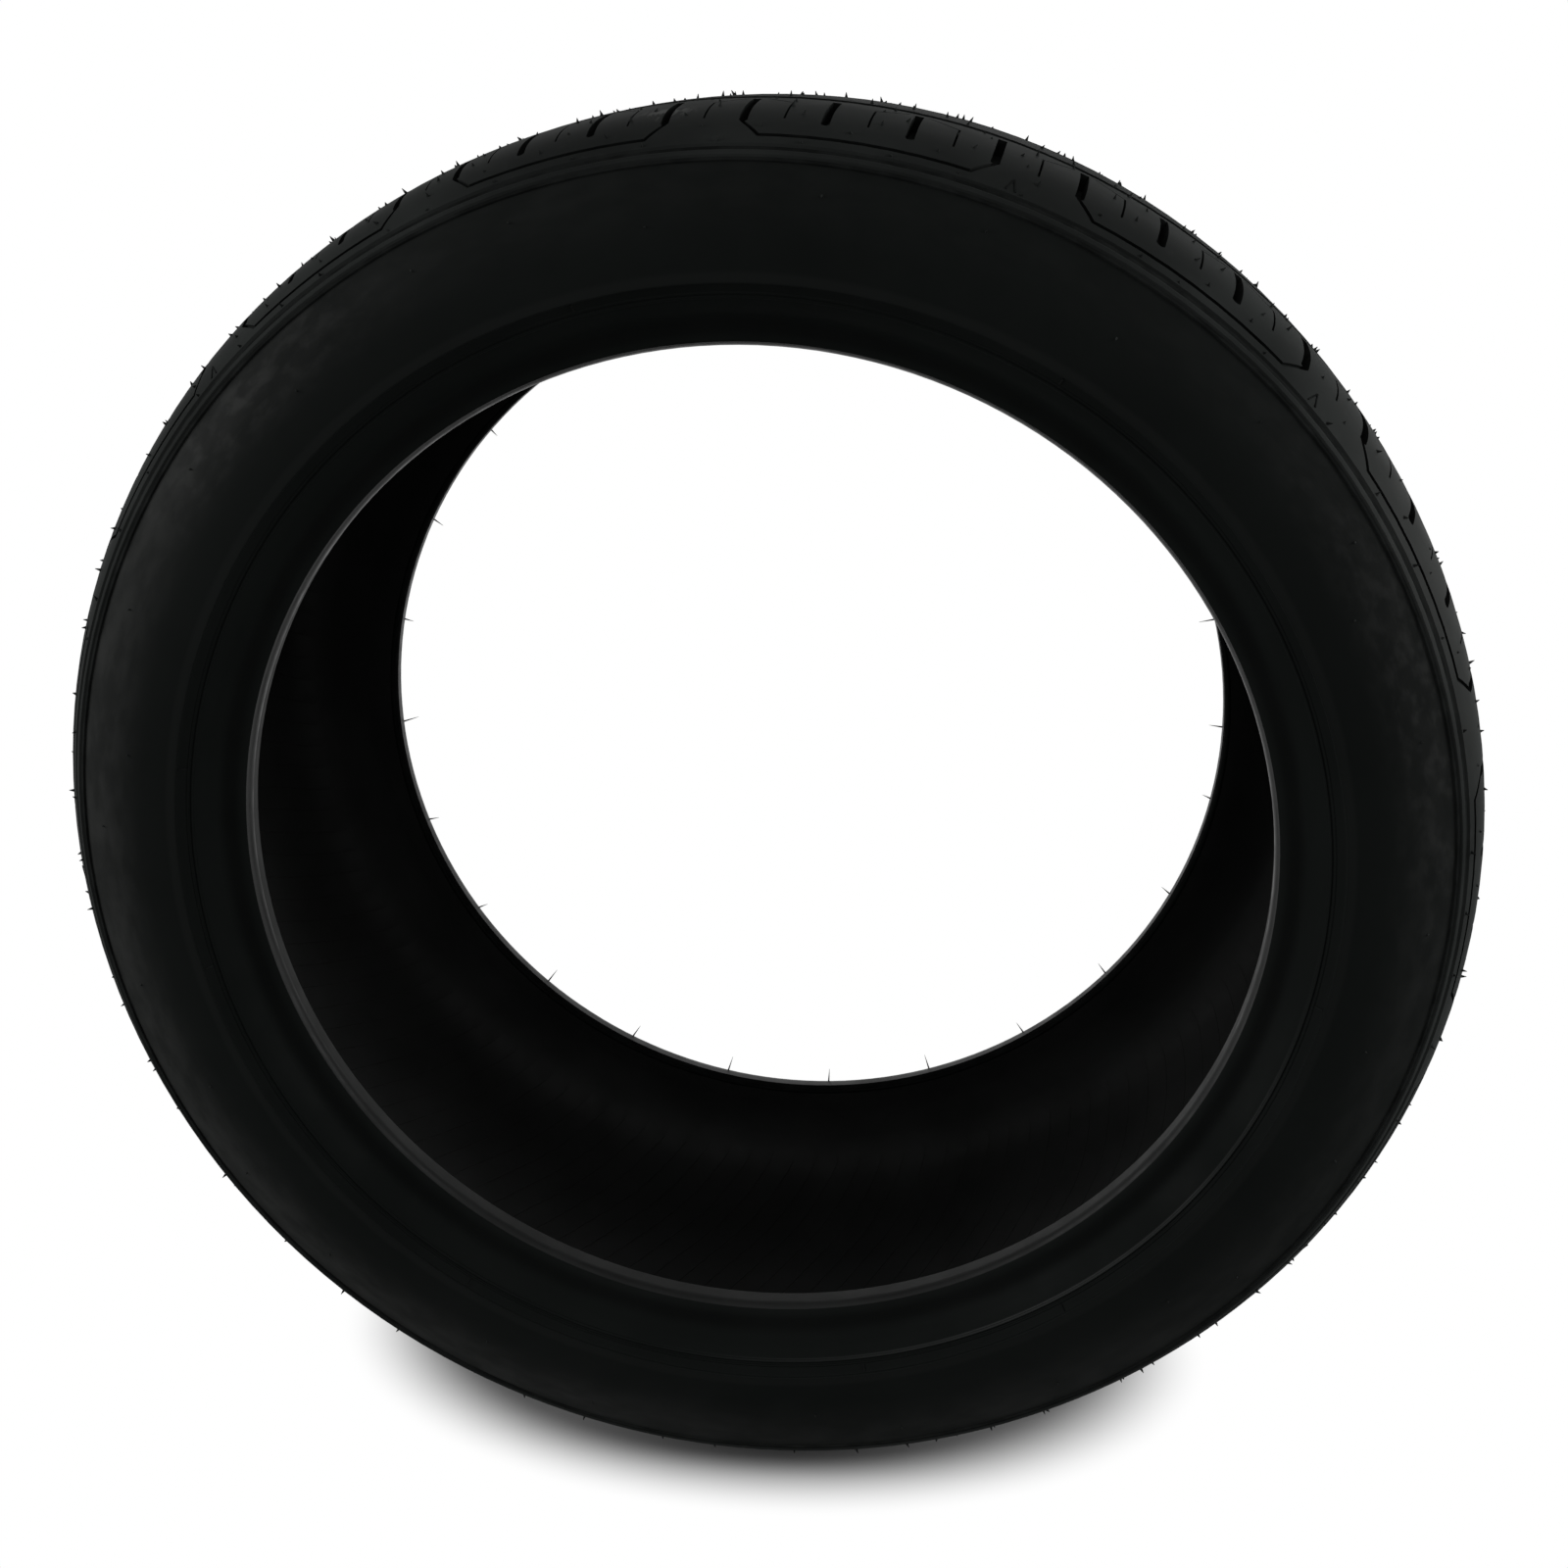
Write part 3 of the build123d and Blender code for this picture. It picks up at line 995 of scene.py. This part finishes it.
class TYRE_OT_moulded_marks(bpy.types.Operator):
    """Model the small raised marks: wear triangles on the shoulder and ticks over the rim line"""

    bl_idname = "tyre.moulded_marks"
    bl_label = "Moulded Marks"

    def execute(self, context):
        sizes = context.scene.tyre_sizes
        bm = bmesh.new()
        for group in MARKED_GROUPS:
            middle = sizes.first_group + tile_angle(sizes) * (group + 1) - TRIANGLE_INSET
            angle = pitch_angle(sizes, middle)
            tip = on_tread(sizes, TRIANGLE_TIP, angle)
            outward = off_tread(sizes, TRIANGLE_MIDDLE, angle)
            for side in (-1, 1):
                foot_angle = pitch_angle(sizes, middle + side * TRIANGLE_SPREAD)
                foot = on_tread(sizes, TRIANGLE_FOOT, foot_angle)
                add_bar(bm, foot, tip, outward, BAR_WIDTH, TRIANGLE_HEIGHT)
        protector, _, down, out = flank_lines(sizes)
        ends = [protector + down * run * MM - out * TICK_SEAT for run in TICK_RUN]
        for angle in TICK_ANGLES:
            points = [at(*end, radians(angle)) for end in ends]
            add_bar(bm, *points, at(*out, radians(angle)), BAR_WIDTH, TICK_HEIGHT)
        new_piece(bm, "moulded_marks", [rubber("cut_rubber")])
        return {"FINISHED"}


def new_light(name, place, size, power):
    """Hangs one soft box in the studio, turned to the tyre."""
    light = bpy.data.lights.new(name, "AREA")
    light.shape = "DISK"
    light.size = size
    light.energy = power
    lamp = bpy.data.objects.new(name, light)
    lamp.location = place
    lamp.rotation_euler = (Vector() - Vector(place)).to_track_quat("-Z", "Y").to_euler()
    bpy.context.scene.collection.objects.link(lamp)


def seen_share(tree):
    """1 for rays that look at the studio, straight, in a mirror or through glass, and 0 for others."""
    path = tree.nodes.new("ShaderNodeLightPath")
    total = path.outputs["Is Camera Ray"]
    for name in ("Is Glossy Ray", "Is Transmission Ray"):
        larger = tree.nodes.new("ShaderNodeMath")
        larger.operation = "MAXIMUM"
        tree.links.new(total, larger.inputs[0])
        tree.links.new(path.outputs[name], larger.inputs[1])
        total = larger.outputs["Value"]
    return total


class TYRE_OT_studio_stage(bpy.types.Operator):
    """Lay the floor, hang the soft lights and set the camera"""

    bl_idname = "tyre.studio_stage"
    bl_label = "Studio Stage"

    def execute(self, context):
        scene = context.scene
        settings = scene.stage_settings
        scene.view_settings.view_transform = "Standard"
        self.lay_floor(scene, settings)
        self.light_world(scene)
        for name, place, size, power in LIGHTS:
            new_light(name, place, size, power)
        camera = bpy.data.cameras.new("camera")
        camera.sensor_fit = "HORIZONTAL"
        camera.sensor_width = 36
        camera.lens = settings.camera_lens
        seat = bpy.data.objects.new("camera", camera)
        seat.location = settings.camera_place
        yaw, pitch = settings.camera_yaw, settings.camera_pitch
        ahead = Vector((sin(yaw) * cos(pitch), cos(yaw) * cos(pitch), sin(pitch)))
        seat.rotation_euler = ahead.to_track_quat("-Z", "Y").to_euler()
        scene.collection.objects.link(seat)
        scene.camera = seat
        return {"FINISHED"}

    def lay_floor(self, scene, settings):
        """A wide floor that keeps the tyre's shadow, with a painted shadow in its own dark colour round it,
        and fades to white away from it.
        """
        bm = bmesh.new()
        bmesh.ops.create_grid(bm, x_segments=2, y_segments=2, size=FLOOR_REACH,
                              matrix=Matrix.Translation((0, 0, scene.tyre_sizes.floor_height)))
        mesh = bpy.data.meshes.new("floor")
        bm.to_mesh(mesh)
        bm.free()
        finish = Finish("floor_paint")
        finish.shade("Base Color", rgba(settings.floor))
        finish.shade("Roughness", 0.9)
        glow = finish.add("ShaderNodeEmission")
        spread = finish.add("ShaderNodeMapping")
        spread.inputs["Location"].default_value = SHADOW_SHIFT
        spread.inputs["Scale"].default_value = SHADOW_SCALE
        finish.join(finish.place, spread.inputs["Vector"])
        # Painted shadow: within the ellipse the eye sees the floor's own dark colour, beyond it white
        fade = finish.ranged(finish.vectors("LENGTH", spread.outputs["Vector"]), *SHADOW_FADE)
        share = finish.maths("MULTIPLY", fade, seen_share(finish.tree))
        mix = finish.add("ShaderNodeMixShader")
        finish.join(share, mix.inputs["Fac"])
        finish.join(finish.shader.outputs["BSDF"], mix.inputs[1])
        finish.join(glow.outputs["Emission"], mix.inputs[2])
        finish.join(mix.outputs["Shader"], finish.tree.nodes["Material Output"].inputs["Surface"])
        mesh.materials.append(finish.material)
        floor = bpy.data.objects.new("floor", mesh)
        scene.collection.objects.link(floor)

    def light_world(self, scene):
        """White all round for the eye, and a plain soft light on the tyre."""
        world = bpy.data.worlds.new("studio")
        world.use_nodes = True
        background = world.node_tree.nodes["Background"]
        background.inputs["Color"].default_value = (1, 1, 1, 1)
        level = world.node_tree.nodes.new("ShaderNodeMapRange")
        level.inputs["To Min"].default_value = LIT_LEVEL
        level.inputs["To Max"].default_value = SEEN_LEVEL
        world.node_tree.links.new(seen_share(world.node_tree), level.inputs["Value"])
        world.node_tree.links.new(level.outputs["Result"], background.inputs["Strength"])
        scene.world = world


class TYRE_PT_sidebar(bpy.types.Panel):
    """Sizes and colours of the tyre, and the steps that make it"""

    bl_idname = "TYRE_PT_sidebar"
    bl_label = "Car Tyre"
    bl_space_type = "VIEW_3D"
    bl_region_type = "UI"
    bl_category = "Tyre"

    def draw(self, context):
        scene = context.scene
        for group in (scene.tyre_sizes, scene.rubber_colours, scene.stage_settings):
            box = self.layout.box()
            for name in group.__annotations__:
                box.prop(group, name)
        for step in STEPS:
            self.layout.operator(step.bl_idname)


STEPS = (TYRE_OT_moulded_ring, TYRE_OT_vent_spews, TYRE_OT_moulded_marks, TYRE_OT_studio_stage)
CLASSES = (TyreSizes, RubberColours, StageSettings, *STEPS, TYRE_PT_sidebar)


def register():
    for cls in CLASSES:
        bpy.utils.register_class(cls)
    bpy.types.Scene.tyre_sizes = PointerProperty(type=TyreSizes)
    bpy.types.Scene.rubber_colours = PointerProperty(type=RubberColours)
    bpy.types.Scene.stage_settings = PointerProperty(type=StageSettings)


def unregister():
    del bpy.types.Scene.stage_settings
    del bpy.types.Scene.rubber_colours
    del bpy.types.Scene.tyre_sizes
    for cls in reversed(CLASSES):
        bpy.utils.unregister_class(cls)


def main():
    register()
    bpy.ops.tyre.moulded_ring()
    bpy.ops.tyre.vent_spews()
    bpy.ops.tyre.moulded_marks()
    bpy.ops.tyre.studio_stage()


if __name__ == "__main__":
    main()
